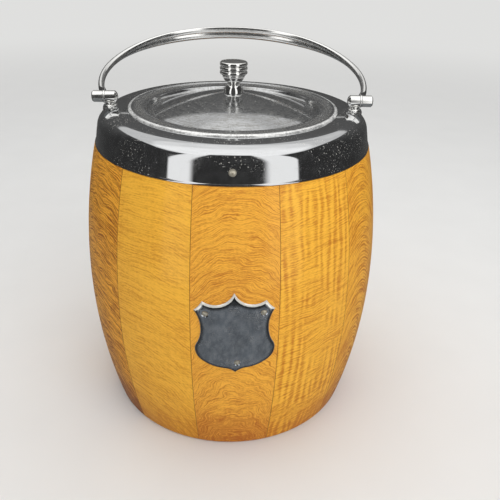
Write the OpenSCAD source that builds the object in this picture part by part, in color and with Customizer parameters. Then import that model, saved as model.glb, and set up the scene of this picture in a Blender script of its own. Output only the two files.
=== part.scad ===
// Biscuit jar: a coopered barrel of wooden staves round a glazed pot, with a plated collar,
// a pressed lid with a turned knob, and a bail that swings on two posts.
// Millimetres. The axis is Z, the front faces -Y, and the barrel stands on z = 0.

/* [Barrel] */
// Widest diameter of the barrel
barrel_d = 142; // [130:1:158]
// Height of the widest point
bulge_z = 66.4; // [60:0.2:72]
// Radius of the arc that a stave follows from foot to collar
bulge_arc_r = 271; // [230:1:400]
// Height of the wood that shows below the collar
wall_h = 132.8; // [124:0.2:146]
// Thickness of a stave
stave_t = 8; // [7:0.1:9]
// Number of staves
stave_count = 12; // [10:1:14]
// Turn of the stave pattern from the middle of the front, in degrees
stave_turn = 1.3; // [-3:0.1:4]
// Height of the tongue that stands up inside the collar
tongue_h = 7.6; // [6:0.1:8]
// Chamfer round the foot
foot_chamfer = 0.8; // [0.3:0.1:2]
// Height of the base board above the table
base_recess = 5; // [3:0.5:8]
// Thickness of the base board
base_board_t = 7; // [5:0.5:9]
// Depth of the groove that holds the base board
croze_depth = 2.5; // [1.5:0.1:4]

/* [Liner] */
// Wall of the glazed pot
liner_t = 4; // [3:0.1:5]
// Floor of the glazed pot
liner_floor_t = 5; // [4:0.5:8]
// How much narrower the pot is at its floor, on the radius
liner_taper = 2; // [0.5:0.1:4]
// Outer radius of the corner between the pot's floor and wall
liner_corner_r = 9; // [7:0.5:14]
// Room between the pot's rim and the staves
liner_gap = 1; // [0.5:0.1:2]

/* [Collar] */
// Height of the collar
collar_h = 13.2; // [12.6:0.1:18]
// Thickness of the collar's metal
collar_t = 0.8; // [0.6:0.05:1]
// How far the wood stands out past the collar's lower edge
collar_inset = 0.45; // [0.2:0.05:1]
// How far the skirt leans in between its lower edge and the shoulder
collar_lean = 1.4; // [0.6:0.1:2]
// Radius of the rounded shoulder
shoulder_r = 4.8; // [4:0.1:5]
// Width of the top between the shoulder and the mouth
collar_top_w = 8.6; // [8.2:0.1:11]
// Fall of the top from the shoulder to the mouth
collar_top_fall = 0.5; // [0.2:0.1:1]
// Width of the lip that carries the lid
lip_w = 1.7; // [1.6:0.1:2.2]
// Depth of the lip below the mouth's edge
lip_drop = 0.5; // [0.3:0.1:1]
// Number of pins that hold the collar
collar_pin_count = 3; // [3:1:4]
// Height of the collar's pins above its lower edge
collar_pin_up = 5.3; // [4:0.1:6]
// Radius of a collar pin's head
collar_pin_head_r = 1.5; // [1.2:0.1:2]

/* [Lid] */
// Thickness of the lid's metal
lid_t = 0.8; // [0.6:0.05:1]
// Room between the lid's bead and the collar's mouth
lid_gap = 0.3; // [0.25:0.05:0.6]
// Radius of the rolled bead
bead_r = 0.9; // [0.8:0.05:1.2]
// Width of the hollow cove inside the bead
cove_w = 5.9; // [4.5:0.1:7]
// Depth of the cove below the bead's top
cove_depth = 3.7; // [2.5:0.1:4.5]
// Hollow of the cove between the crease and the bead
cove_hollow = 0.7; // [0.3:0.1:1.2]
// Rise of the dome from the crease to the knob's seat
dome_rise = 9.3; // [7:0.1:14]
// Swell of the dome above a straight cone
dome_swell = 0.8; // [0.3:0.1:2]
// Height of the ring that drops into the collar's lip
plug_h = 6.6; // [5:0.1:10]
// Room between that ring and the lip
plug_gap = 0.5; // [0.3:0.1:0.8]

/* [Knob] */
// Radius of the knob's base
knob_base_r = 4.5; // [4:0.1:6]
// Height of the straight edge of the base
knob_base_edge = 0.5; // [0.3:0.1:1]
// Radius of the knob's neck
knob_neck_r = 2.35; // [2.2:0.05:3]
// Height of the neck above the base
knob_neck_z = 3.9; // [3:0.1:5]
// Radius of the cup below the rings
knob_cup_r = 4.9; // [4:0.1:5.2]
// Height of the cup's rim above the base
knob_cup_z = 8.3; // [7.5:0.1:9.5]
// Radius of the head's rings
knob_ring_r = 6.15; // [5.8:0.05:7]
// Height of one ring
knob_ring_h = 1.85; // [1.5:0.05:2.4]
// Depth of the groove between two rings
knob_groove = 0.55; // [0.3:0.05:0.7]
// Rise of the domed top
knob_top_rise = 0.45; // [0.2:0.05:1.2]
// Radius of the screw that holds the knob
screw_r = 1.5; // [1.3:0.05:1.6]
// Depth of the screw's thread in the knob
screw_depth = 7; // [5:0.5:8]

/* [Posts and pins] */
// Height of the bail's axis above the collar
pivot_up = 4.2; // [4:0.1:6]
// Distance of a post's axis in from the shoulder
post_inset = 0.7; // [0.5:0.05:1]
// Radius of a post's foot
post_foot_r = 3.5; // [3:0.1:3.8]
// Radius of the waist between foot and knuckle
post_waist_r = 1.8; // [1.5:0.05:1.85]
// Radius of the knuckle on a post
knuckle_r = 2.6; // [2.4:0.05:3]
// Length of the knuckle on a post
knuckle_len = 5.5; // [4.8:0.1:6]
// Distance from a post's axis out to the middle of the bail's eye
eye_reach = 2.6; // [2.5:0.1:3.2]
// Radius of a hinge pin's head
pin_head_r = 2.55; // [2.3:0.05:3]
// Length of a hinge pin's head
pin_head_len = 4.8; // [3.5:0.1:6]
// Radius of a hinge pin's shank
pin_shank_r = 1.3; // [1:0.05:1.5]
// Radius of a post's stud
stud_r = 1.2; // [1:0.05:1.4]
// Size across the flats of a stud's nut
nut_flats = 4.4; // [4:0.1:4.6]
// Height of a stud's nut
nut_h = 2; // [1.5:0.1:2.4]

/* [Bail] */
// How far the widest part of the bail stands out past its eyes
bail_spread = 3.8; // [3:0.1:6]
// How far the bail's crown stands out past the collar's lower edge
bail_reach = 7.5; // [6.5:0.1:8]
// Lean of the bail at rest, in degrees up from level at the back
bail_lean = 16; // [5:1:90]
// Thickness of the eye
eye_t = 0.9; // [0.7:0.05:1.2]
// Radius of the eye
eye_r = 2.8; // [2.7:0.05:3.2]
// Thickness of the legs, across the jar
leg_t = 2.7; // [2.2:0.1:3.2]
// Width of the legs, fore and aft
leg_w = 3.1; // [2.6:0.1:4]
// Thickness of the crown
crown_t = 1.9; // [1.5:0.1:2.6]
// Width of the crown
crown_w = 6.4; // [5:0.1:7]
// Depth of the groove between the crown's two reeds
reed_groove = 0.35; // [0.1:0.05:0.5]

/* [Shield] */
// Thickness of the shield plate
shield_t = 0.9; // [0.7:0.05:1.2]
// Height of the middle of the shield
shield_z = 71.6; // [64:0.1:80]
// Half the width across the shield's top corners
shield_corner_x = 16.55; // [15:0.05:18]
// Half the width across the shield's shoulders
shield_shoulder_x = 13; // [11:0.1:14]
// Height of the shield's top point above its middle
shield_peak = 19.6; // [18.8:0.1:21]
// Depth of the shield's bottom point below its middle
shield_tip = 20.2; // [19.4:0.1:21]
// Turn of the shield on the wall, in degrees
shield_tilt = 1.2; // [-2:0.1:2]
// Radius of a shield pin's head
shield_pin_head_r = 1.15; // [0.9:0.05:1.3]

/* [Hidden] */
$fn = 96;

// Clearances
thread_fit = 0.03;      // on the radius, round threads and driven pins
running_fit = 0.06;     // on the radius, between an eye and its pin
cheek_gap = 0.1;        // each side of an eye
seat_gap = 0.3;         // under the lid's bead
bed_fit = 0.05;         // between pieces bedded on a curved face
curve_steps = 24;       // chords along the barrel's arc
bow_steps = 8;          // chords along a bowed line
arc_step = 12;          // degrees that one chord of an arc spans

// Barrel
stave_angle = 360 / stave_count;
tongue_top = wall_h + tongue_h;
croze_top = base_recess + base_board_t;
croze_r = wall_r(base_recess) - stave_t + croze_depth;

// Collar
collar_foot_r = wall_r(wall_h) - collar_inset;
crown_r = collar_foot_r - collar_lean - shoulder_r;
collar_top = wall_h + collar_h;
shoulder_z = collar_top - shoulder_r;
mouth_r = crown_r - collar_top_w;
mouth_z = collar_top - collar_top_fall;
lip_z = mouth_z - lip_drop;
lip_r = mouth_r - lip_w;
collar_pin_r = 0.6;
collar_pin_depth = 5;
pin_dome = 0.45;        // height of a pin head's dome, as a share of its radius
pin_dome_swell = 0.3;   // swell of that dome above a straight cone, as a share of its height

// Liner
liner_r = wall_r(tongue_top) - stave_t - liner_gap;
liner_top = mouth_z - collar_t - bed_fit;
liner_rim_r = liner_t / 2;

// Lid
bead_axis_r = mouth_r - lid_gap - bead_r;
bead_axis_z = lip_z + seat_gap + bead_r;
crease_r = bead_axis_r - cove_w;
crease_z = bead_axis_z + bead_r - cove_depth;
seat_z = crease_z + dome_rise;
seat_r = knob_base_r + 0.2;
plug_r = lip_r - plug_gap;
plug_flange_w = plug_r - crease_r + 2;

// Knob
knob_ring_count = 3;
knob_foot_hollow = 0.35;    // how far the foot's side curves in
knob_cup_hollow = 0.4;      // how far the cup's side curves in
knob_cup_band = 1.1;        // height of the straight band round the cup's rim
knob_top_swell = 0.15;      // swell of the top above a straight cone
knob_top_z = knob_cup_z + knob_ring_count * knob_ring_h;
washer_r = 4;
washer_t = 0.8;
screw_head_r = 2.6;
screw_head_h = 1.8;

// Posts, pins and bail
pivot_z = collar_top + pivot_up;
post_x = crown_r - post_inset;
eye_x = post_x + eye_reach;
knuckle_end = eye_x - eye_t / 2 - cheek_gap;
knuckle_dome = 1.2;
knuckle_dome_swell = 0.35;
post_foot_hollow = 0.35;
waist_z = pivot_z - eye_r - seat_gap;
post_foot_edge = 0.1;
stud_len = nut_h + 1;
shank_depth = 3.6;
pin_chamfer = 0.5;
bail_a = eye_x + bail_spread;
bail_k = sqrt(1 - pow(eye_x / bail_a, 2));
bail_rise = collar_foot_r + bail_reach;
bail_b = bail_rise / (1 + bail_k);
bail_centre = bail_k * bail_b;
bail_bow_rings = 52;    // steps of the sweep between the two blends
blend_rings = 6;        // steps of the sweep through a blend
bail_start = 1.2;       // height above the pivot where the swept leg begins, inside the eye
leg_thin = knuckle_r + 0.35;    // height up to which the leg stays as thin as the eye
leg_blend = 3.5;        // height over which the leg thickens
leg_in_eye = 0.8;       // width of the leg where it leaves the eye, as a share of the eye
crown_from = 0.3;       // sine of the angle round the oval where the crown starts to widen
// Half of the section's outline, from edge to edge, as shares of the half width
reed_steps = [-1, -0.94, -0.8, -0.55, -0.28, 0, 0.28, 0.55, 0.8, 0.94, 1];
reed_half = 0.28;       // half width of the groove, as a share of the half width

// Shield: corners from its middle, and how far each side bows out (negative bows in)
shield_half = [
    [[0, shield_peak], -3.3],
    [[shield_shoulder_x, 15.5], -0.3],
    [[shield_corner_x, 11.2], -1.9],
    [[shield_corner_x - 1.2, -4], 2.2],
    [[13.6, -14.2], 0.7],
    [[4.5, -17.8], -0.5]];
shield_pins_at = [[-11.8, 9.9], [11.8, 9.9], [0.8, -14.6]];
shield_pin_r = 0.55;
shield_pin_depth = 5;
shield_sink = 0.35;     // depth of the countersink round a shield pin
shield_sink_w = 0.45;   // how far the countersink spreads past the pin's head

// ---------------------------------------------------------------- functions

function stave_name(i) = str("stave_", i < 10 ? "0" : "", i);

// Radius of the barrel's outer face at a height
function wall_r(z) = barrel_d / 2 - bulge_arc_r + sqrt(pow(bulge_arc_r, 2) - pow(z - bulge_z, 2));

// Slope of the barrel's outer face at a height, in degrees
function wall_slope(z) = asin((z - bulge_z) / bulge_arc_r);

// Radius of the collar's outer face at a height on its skirt
function skirt_r(z) = collar_foot_r - collar_lean * (z - wall_h) / (shoulder_z - wall_h);

// Points along the barrel's outer face, moved in by a thickness
function wall_points(z_from, z_to, inward) = [
    for (i = [0:curve_steps])
        let (z = z_from + (z_to - z_from) * i / curve_steps)
            [wall_r(z) - inward, z]];

// Points of a circular arc round a centre, from one angle to another
function arc(centre, r, from, to) =
    let (steps = ceil(abs(to - from) / arc_step))
    [for (i = [0:steps])
        let (a = from + (to - from) * i / steps)
            centre + r * [cos(a), sin(a)]];

// Points from a to just before b along an arc whose middle stands out to the left by rise
function bow(a, b, rise) =
    let (chord = norm(b - a),
         along = (b - a) / chord,
         left = [-along[1], along[0]],
         r = (pow(chord / 2, 2) + pow(rise, 2)) / (2 * rise),
         half = 2 * atan(2 * rise / chord),
         centre = (a + b) / 2 + left * (rise - r))
    [for (i = [0:bow_steps - 1])
        let (t = half * (1 - 2 * i / bow_steps))
            centre + r * (left * cos(t) - along * sin(t))];

// Smooth step from 0 to 1
function ease(x) = let (t = min(max(x, 0), 1)) t * t * (3 - 2 * t);

function mix(a, b, t) = a + (b - a) * t;

function reversed(points) = [for (i = [len(points) - 1:-1:0]) points[i]];

// Closed profile of the collar's outside, grown outwards
function collar_outside(grow) = concat(
    [[0, wall_h], [collar_foot_r + grow, wall_h]],
    arc([crown_r, shoulder_z], shoulder_r + grow, 0, 90),
    [[mouth_r, mouth_z + grow], [0, mouth_z + grow]]);

// ---------------------------------------------------------------- placing

// Puts children on the barrel's face: +Z points out of the wood, +Y up it
module on_wall(turn, z, r, slope) {
    rotate([0, 0, turn])
        translate([0, -r, z])
            rotate([90 - slope, 0, 0])
                children();
}

// Puts children at each of the collar's pins
module at_collar_pins() {
    for (i = [0:collar_pin_count - 1])
        on_wall(360 * i / collar_pin_count, wall_h + collar_pin_up, skirt_r(wall_h + collar_pin_up),
            atan(collar_lean / (shoulder_z - wall_h)))
            children();
}

// Puts children at each of the shield's pins, on the wood's face
module at_shield_pins() {
    for (at = shield_pins_at) {
        x = at[0] * cos(shield_tilt) - at[1] * sin(shield_tilt);
        z = shield_z + at[0] * sin(shield_tilt) + at[1] * cos(shield_tilt);
        on_wall(stave_turn + asin(x / wall_r(z)), z, wall_r(z), wall_slope(z))
            children();
    }
}

// Puts children with +Z along the bail's axis, starting at a place on the right-hand side
module on_axle(x) {
    translate([x, 0, pivot_z])
        rotate([0, 90, 0])
            children();
}

module left_side() {
    mirror([1, 0, 0])
        children();
}

// ---------------------------------------------------------------- barrel

module stave(i) {
    from = -90 + stave_turn + stave_angle * (i - 1.5);
    color("peru")
        difference() {
            rotate([0, 0, from])
                rotate_extrude(angle = stave_angle)
                    polygon(concat(
                        [[wall_r(0) - foot_chamfer, 0]],
                        wall_points(foot_chamfer, wall_h, 0),
                        [[skirt_r(wall_h) - collar_t - bed_fit, wall_h],
                         [skirt_r(tongue_top) - collar_t - bed_fit, tongue_top]],
                        wall_points(tongue_top, croze_top, stave_t),
                        [[croze_r, croze_top], [croze_r, base_recess]],
                        [[wall_r(base_recess) - stave_t, base_recess], [wall_r(0) - stave_t, 0]]));
            at_collar_pins()
                translate([0, 0, -collar_pin_depth])
                    cylinder(h = collar_pin_depth, r = collar_pin_r + thread_fit);
            at_shield_pins()
                translate([0, 0, -shield_pin_depth])
                    cylinder(h = shield_pin_depth + 1, r = shield_pin_r + thread_fit);
        }
}

module base_board() {
    color("burlywood")
        translate([0, 0, base_recess])
            cylinder(h = base_board_t, r = croze_r - bed_fit);
}

// ---------------------------------------------------------------- liner

module liner() {
    floor_r = liner_r - liner_taper;
    inner_corner_r = liner_corner_r - liner_t;
    color("ivory")
        rotate_extrude()
            polygon(concat(
                [[0, croze_top]],
                arc([floor_r - liner_corner_r, croze_top + liner_corner_r], liner_corner_r, -90, 0),
                arc([liner_r - liner_rim_r, liner_top - liner_rim_r], liner_rim_r, 0, 180),
                arc([floor_r - liner_t - inner_corner_r, croze_top + liner_floor_t + inner_corner_r],
                    inner_corner_r, 0, -90),
                [[0, croze_top + liner_floor_t]]));
}

// ---------------------------------------------------------------- collar

module collar() {
    color("silver")
        difference() {
            rotate_extrude()
                polygon(concat(
                    [[collar_foot_r, wall_h]],
                    arc([crown_r, shoulder_z], shoulder_r, 0, 90),
                    [[mouth_r, mouth_z], [mouth_r, lip_z], [lip_r, lip_z], [lip_r, lip_z - collar_t],
                     [mouth_r + collar_t, lip_z - collar_t], [mouth_r + collar_t, mouth_z - collar_t]],
                    arc([crown_r, shoulder_z], shoulder_r - collar_t, 90, 0),
                    [[collar_foot_r - collar_t, wall_h]]));
            at_collar_pins()
                translate([0, 0, -collar_pin_depth])
                    cylinder(h = collar_pin_depth + 1, r = collar_pin_r + thread_fit);
            for (side = [-1, 1])
                translate([side * post_x, 0, collar_top - 2 * collar_t])
                    cylinder(h = 3 * collar_t, r = stud_r + thread_fit);
        }
}

// A pin with a domed head: the head stands on z = 0 and the shank goes down
module domed_pin(head_r, shank_r, shank_len) {
    dome_h = head_r * pin_dome;
    rotate_extrude()
        polygon(concat(
            [[0, -shank_len], [shank_r, -shank_len], [shank_r, 0]],
            bow([head_r, 0], [0, dome_h], dome_h * pin_dome_swell),
            [[0, dome_h]]));
}

module collar_pins() {
    color("gainsboro")
        at_collar_pins()
            translate([0, 0, bed_fit])
                domed_pin(collar_pin_head_r, collar_pin_r, collar_pin_depth - bed_fit);
}

// ---------------------------------------------------------------- shield

module shield_outline() {
    half = [for (i = [0:len(shield_half) - 1])
        let (a = shield_half[i][0],
             b = i + 1 < len(shield_half) ? shield_half[i + 1][0] : [0, -shield_tip])
            each bow(a, b, shield_half[i][1])];
    other_half = [for (i = [len(half) - 1:-1:1]) [-half[i][0], half[i][1]]];
    rotate([0, 0, shield_tilt])
        polygon(concat(half, [[0, -shield_tip]], other_half));
}

module shield() {
    reach = max(shield_peak, shield_tip) + 2;
    lift = bed_fit;
    color("lightsteelblue")
        difference() {
            intersection() {
                rotate([0, 0, -120])
                    rotate_extrude(angle = 60)
                        polygon(concat(
                            wall_points(shield_z - reach, shield_z + reach, -lift - shield_t),
                            wall_points(shield_z + reach, shield_z - reach, -lift)));
                rotate([0, 0, stave_turn])
                    translate([0, 0, shield_z])
                        rotate([90, 0, 0])
                            linear_extrude(barrel_d)
                                shield_outline();
            }
            at_shield_pins() {
                cylinder(h = 2 * shield_t, r = shield_pin_r + thread_fit);
                translate([0, 0, lift + shield_t - shield_sink])
                    cylinder(h = 2 * shield_sink, r1 = shield_pin_head_r + bed_fit,
                        r2 = shield_pin_head_r + bed_fit + 2 * shield_sink_w);
            }
        }
}

module shield_pins() {
    color("gainsboro")
        at_shield_pins()
            translate([0, 0, 2 * bed_fit + shield_t - shield_sink])
                domed_pin(shield_pin_head_r, shield_pin_r, shield_pin_depth);
}

// ---------------------------------------------------------------- lid

module lid() {
    bead_at = [bead_axis_r, bead_axis_z];
    bead_inner = -135;
    under_bead = bead_at + bead_r * [cos(bead_inner), sin(bead_inner)];
    color("silver")
        difference() {
            rotate_extrude()
                polygon(concat(
                    [[0, seat_z]],
                    bow([seat_r, seat_z], [crease_r, crease_z], dome_swell),
                    bow([crease_r, crease_z], bead_at + [0, bead_r], -cove_hollow),
                    arc(bead_at, bead_r, 90, bead_inner),
                    reversed(bow([crease_r, crease_z - lid_t], under_bead, -cove_hollow)),
                    reversed(bow([seat_r, seat_z - lid_t], [crease_r, crease_z - lid_t], dome_swell)),
                    [[0, seat_z - lid_t]]));
            translate([0, 0, seat_z - 2 * lid_t])
                cylinder(h = 3 * lid_t, r = screw_r + thread_fit);
        }
}

// Ring under the lid that drops inside the collar's lip
module lid_flange() {
    top = crease_z - lid_t;
    color("darkgray")
        rotate_extrude()
            polygon([
                [plug_r - plug_flange_w, top], [plug_r - plug_flange_w, top - lid_t],
                [plug_r - lid_t, top - lid_t], [plug_r - lid_t, top - plug_h],
                [plug_r, top - plug_h], [plug_r, top]]);
}

module knob() {
    neck = [knob_neck_r, knob_neck_z];
    ring_root = knob_ring_r - knob_groove;
    color("silver")
        translate([0, 0, seat_z])
            difference() {
                rotate_extrude()
                    polygon(concat(
                        [[0, 0], [knob_base_r, 0]],
                        bow([knob_base_r, knob_base_edge], neck, -knob_foot_hollow),
                        bow(neck, [knob_cup_r, knob_cup_z - knob_cup_band], -knob_cup_hollow),
                        [[knob_cup_r, knob_cup_z - knob_cup_band], [knob_cup_r, knob_cup_z]],
                        [for (i = [0:knob_ring_count - 1])
                            each bow([ring_root, knob_cup_z + i * knob_ring_h],
                                [ring_root, knob_cup_z + (i + 1) * knob_ring_h], -knob_groove)],
                        bow([ring_root, knob_top_z], [0, knob_top_z + knob_top_rise], -knob_top_swell),
                        [[0, knob_top_z + knob_top_rise]]));
                translate([0, 0, -1])
                    cylinder(h = screw_depth + 1.5, r = screw_r + thread_fit);
            }
}

module knob_washer() {
    color("gray")
        translate([0, 0, seat_z - lid_t - washer_t])
            difference() {
                cylinder(h = washer_t, r = washer_r);
                translate([0, 0, -1])
                    cylinder(h = washer_t + 2, r = screw_r + thread_fit);
            }
}

module knob_screw() {
    under = seat_z - lid_t - washer_t;
    color("gray")
        union() {
            translate([0, 0, under - screw_head_h])
                cylinder(h = screw_head_h, r = screw_head_r);
            translate([0, 0, under - screw_head_h])
                cylinder(h = seat_z + screw_depth - under + screw_head_h, r = screw_r);
        }
}

// ---------------------------------------------------------------- posts and hinge pins

// Foot of a post, bedded on the collar's shoulder
module post_foot() {
    difference() {
        translate([post_x, 0, 0])
            rotate_extrude()
                polygon(concat(
                    [[0, shoulder_z], [post_foot_r, shoulder_z]],
                    bow([post_foot_r, collar_top + post_foot_edge], [post_waist_r, waist_z], -post_foot_hollow),
                    [[post_waist_r, waist_z], [0, pivot_z]]));
        rotate_extrude()
            polygon(collar_outside(bed_fit));
    }
}

module post() {
    color("silver")
        difference() {
            union() {
                post_foot();
                translate([post_x, 0, collar_top - collar_t - stud_len])
                    cylinder(h = stud_len + collar_t + pivot_up, r = stud_r);
                on_axle(knuckle_end - knuckle_len)
                    rotate_extrude()
                        polygon(concat(
                            [[0, knuckle_len], [0, 0]],
                            bow([0, 0], [knuckle_r, knuckle_dome], -knuckle_dome_swell),
                            [[knuckle_r, knuckle_dome], [knuckle_r, knuckle_len]]));
            }
            on_axle(knuckle_end - shank_depth)
                cylinder(h = shank_depth + 1, r = pin_shank_r + thread_fit);
        }
}

module post_nut() {
    across_corners = nut_flats / cos(30);
    color("gray")
        translate([post_x, 0, collar_top - collar_t - seat_gap - nut_h])
            difference() {
                rotate([0, 0, 30])
                    cylinder(h = nut_h, d = across_corners, $fn = 6);
                translate([0, 0, -1])
                    cylinder(h = nut_h + 2, r = stud_r + thread_fit);
            }
}

module hinge_pin() {
    head_at = eye_x + eye_t / 2 + cheek_gap;
    shank_len = head_at - knuckle_end + shank_depth;
    color("silver")
        on_axle(head_at)
            rotate_extrude()
                polygon([
                    [0, -shank_len], [pin_shank_r, -shank_len], [pin_shank_r, 0], [pin_head_r, 0],
                    [pin_head_r, pin_head_len - pin_chamfer], [pin_head_r - pin_chamfer, pin_head_len],
                    [0, pin_head_len]]);
}

// ---------------------------------------------------------------- bail

// One ring of the bail's section, for an angle round its oval. The bail stands upright here,
// with its pivots on the X axis.
function bail_ring(angle) =
    let (side = cos(angle) < 0 ? -1 : 1,
         up = bail_centre + bail_b * sin(angle),
         foot = ease((up - leg_thin) / leg_blend),
         crown = ease((sin(angle) - crown_from) / (1 - crown_from)),
         x = side * mix(eye_x, bail_a * abs(cos(angle)), foot),
         out = [cos(angle) * bail_b, sin(angle) * bail_a * foot],
         outward = out / norm(out),
         half_t = mix(eye_t, mix(leg_t, crown_t, crown), foot) / 2,
         half_w = mix(2 * eye_r * leg_in_eye, mix(leg_w, crown_w, crown), foot) / 2,
         notch = reed_groove * crown / half_t,
         near = [for (u = reed_steps) bail_point(x, up, outward, half_t * reed_height(u, notch), half_w * u)],
         far = [for (i = [len(reed_steps) - 2:-1:1])
             let (u = reed_steps[i])
                 bail_point(x, up, outward, -half_t * reed_height(u, notch), half_w * u)])
    concat(near, far);

function bail_point(x, up, outward, thick, wide) =
    [x + outward[0] * thick, wide, up + outward[1] * thick];

// Angle round the oval at a height above the pivots, on the right-hand side
function bail_angle(up) = asin((up - bail_centre) / bail_b);

// Height of the section's outline at a place across it, as a share of the half thickness
function reed_height(u, notch) =
    sqrt(1 - pow(abs(u), 3)) * (1 - notch * max(0, 1 - abs(u) / reed_half));

module bail_bow() {
    foot = concat(
        [bail_angle(bail_start)],
        [for (i = [0:blend_rings - 1]) bail_angle(leg_thin + leg_blend * i / blend_rings)]);
    from = bail_angle(leg_thin + leg_blend);
    bow = [for (i = [0:bail_bow_rings]) from + (180 - 2 * from) * i / bail_bow_rings];
    angles = concat(foot, bow, [for (angle = reversed(foot)) 180 - angle]);
    sides = 2 * len(reed_steps) - 2;
    last = (len(angles) - 1) * sides;
    points = [for (angle = angles) each bail_ring(angle)];
    walls = [for (i = [0:sides:last - sides]) for (j = [0:sides - 1])
        let (a = i + j, b = i + (j + 1) % sides)
            each [[a, a + sides, b], [b, a + sides, b + sides]]];
    ends = [[for (j = [0:sides - 1]) j], [for (j = [sides - 1:-1:0]) last + j]];
    polyhedron(points = points, faces = concat(walls, ends));
}

module bail() {
    color("silver")
        translate([0, 0, pivot_z])
            rotate([bail_lean - 90, 0, 0])
                difference() {
                    union() {
                        bail_bow();
                        for (side = [-1, 1])
                            translate([side * eye_x - eye_t / 2, 0, 0])
                                rotate([0, 90, 0])
                                    cylinder(h = eye_t, r = eye_r);
                    }
                    for (side = [-1, 1])
                        translate([side * eye_x - eye_t, 0, 0])
                            rotate([0, 90, 0])
                                cylinder(h = 2 * eye_t, r = pin_shank_r + running_fit);
                }
}

// ---------------------------------------------------------------- nodes

for (i = [1:stave_count])
    stave(i);
base_board();
liner();
collar();
collar_pins();
shield();
shield_pins();
lid();
lid_flange();
knob();
knob_screw();
knob_washer();
bail();
left_side() post();  // left_post
post();  // right_post
left_side() post_nut();  // left_post_nut
post_nut();  // right_post_nut
left_side() hinge_pin();  // left_hinge_pin
hinge_pin();  // right_hinge_pin
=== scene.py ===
import math

import bpy
from mathutils import Matrix, Vector


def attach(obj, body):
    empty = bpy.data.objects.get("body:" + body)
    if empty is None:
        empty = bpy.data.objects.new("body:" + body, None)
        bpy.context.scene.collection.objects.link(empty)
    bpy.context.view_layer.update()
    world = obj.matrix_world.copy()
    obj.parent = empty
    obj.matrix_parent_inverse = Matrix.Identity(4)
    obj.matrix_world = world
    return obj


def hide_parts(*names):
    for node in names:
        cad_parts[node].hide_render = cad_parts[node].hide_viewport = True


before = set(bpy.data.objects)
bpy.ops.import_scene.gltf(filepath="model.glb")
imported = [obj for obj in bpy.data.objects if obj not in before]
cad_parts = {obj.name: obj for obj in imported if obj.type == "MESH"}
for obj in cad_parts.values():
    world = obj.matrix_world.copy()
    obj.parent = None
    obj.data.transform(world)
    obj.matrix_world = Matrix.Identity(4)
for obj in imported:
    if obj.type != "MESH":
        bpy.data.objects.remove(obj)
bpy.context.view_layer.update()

mm = 0.001


# ---- Camera
# It stands a forearm's length in front of the jar, above it, and looks down on the lid.
# The head is turned a little to the right and is not quite level.
camera_place = Vector((0, -255.5, 212.6)) * mm
camera_heading = math.radians(-2.13)
camera_tip = math.radians(90 - 28.8)
camera_roll = math.radians(1.65)
bpy.ops.object.camera_add()
camera = bpy.context.object
camera.name = "camera"
camera.data.lens = 40.32
camera.data.sensor_width = 36
camera.data.clip_start = 10 * mm
camera.matrix_world = (
    Matrix.Translation(camera_place)
    @ Matrix.Rotation(camera_heading, 4, "Z")
    @ Matrix.Rotation(camera_tip, 4, "X")
    @ Matrix.Rotation(camera_roll, 4, "Z")
)
bpy.context.scene.camera = camera
bpy.context.scene.view_settings.view_transform = "Standard"


# ---- Floor
# A wide pale table top of matt paper with a faint mottle, for the jar to stand on and to
# take its shadow. Far from the jar it turns into the plain backdrop.
class Wire:
    """A socket of a finish. Sums on wires add the Math nodes that do them."""

    def __init__(self, finish, socket):
        self.finish = finish
        self.socket = socket

    def math(self, operation, *others):
        values = dict(enumerate((self, *others)))
        return self.finish.node("ShaderNodeMath", {"operation": operation}, values)

    def turned(self, operation, other):
        return self.finish.node("ShaderNodeMath", {"operation": operation}, {0: other, 1: self})

    def __add__(self, other):
        return self.math("ADD", other)

    def __radd__(self, other):
        return self.turned("ADD", other)

    def __sub__(self, other):
        return self.math("SUBTRACT", other)

    def __rsub__(self, other):
        return self.turned("SUBTRACT", other)

    def __mul__(self, other):
        return self.math("MULTIPLY", other)

    def __rmul__(self, other):
        return self.turned("MULTIPLY", other)

    def __truediv__(self, other):
        return self.math("DIVIDE", other)

    def __pow__(self, other):
        return self.math("POWER", other)

    def __abs__(self):
        return self.math("ABSOLUTE")


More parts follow.
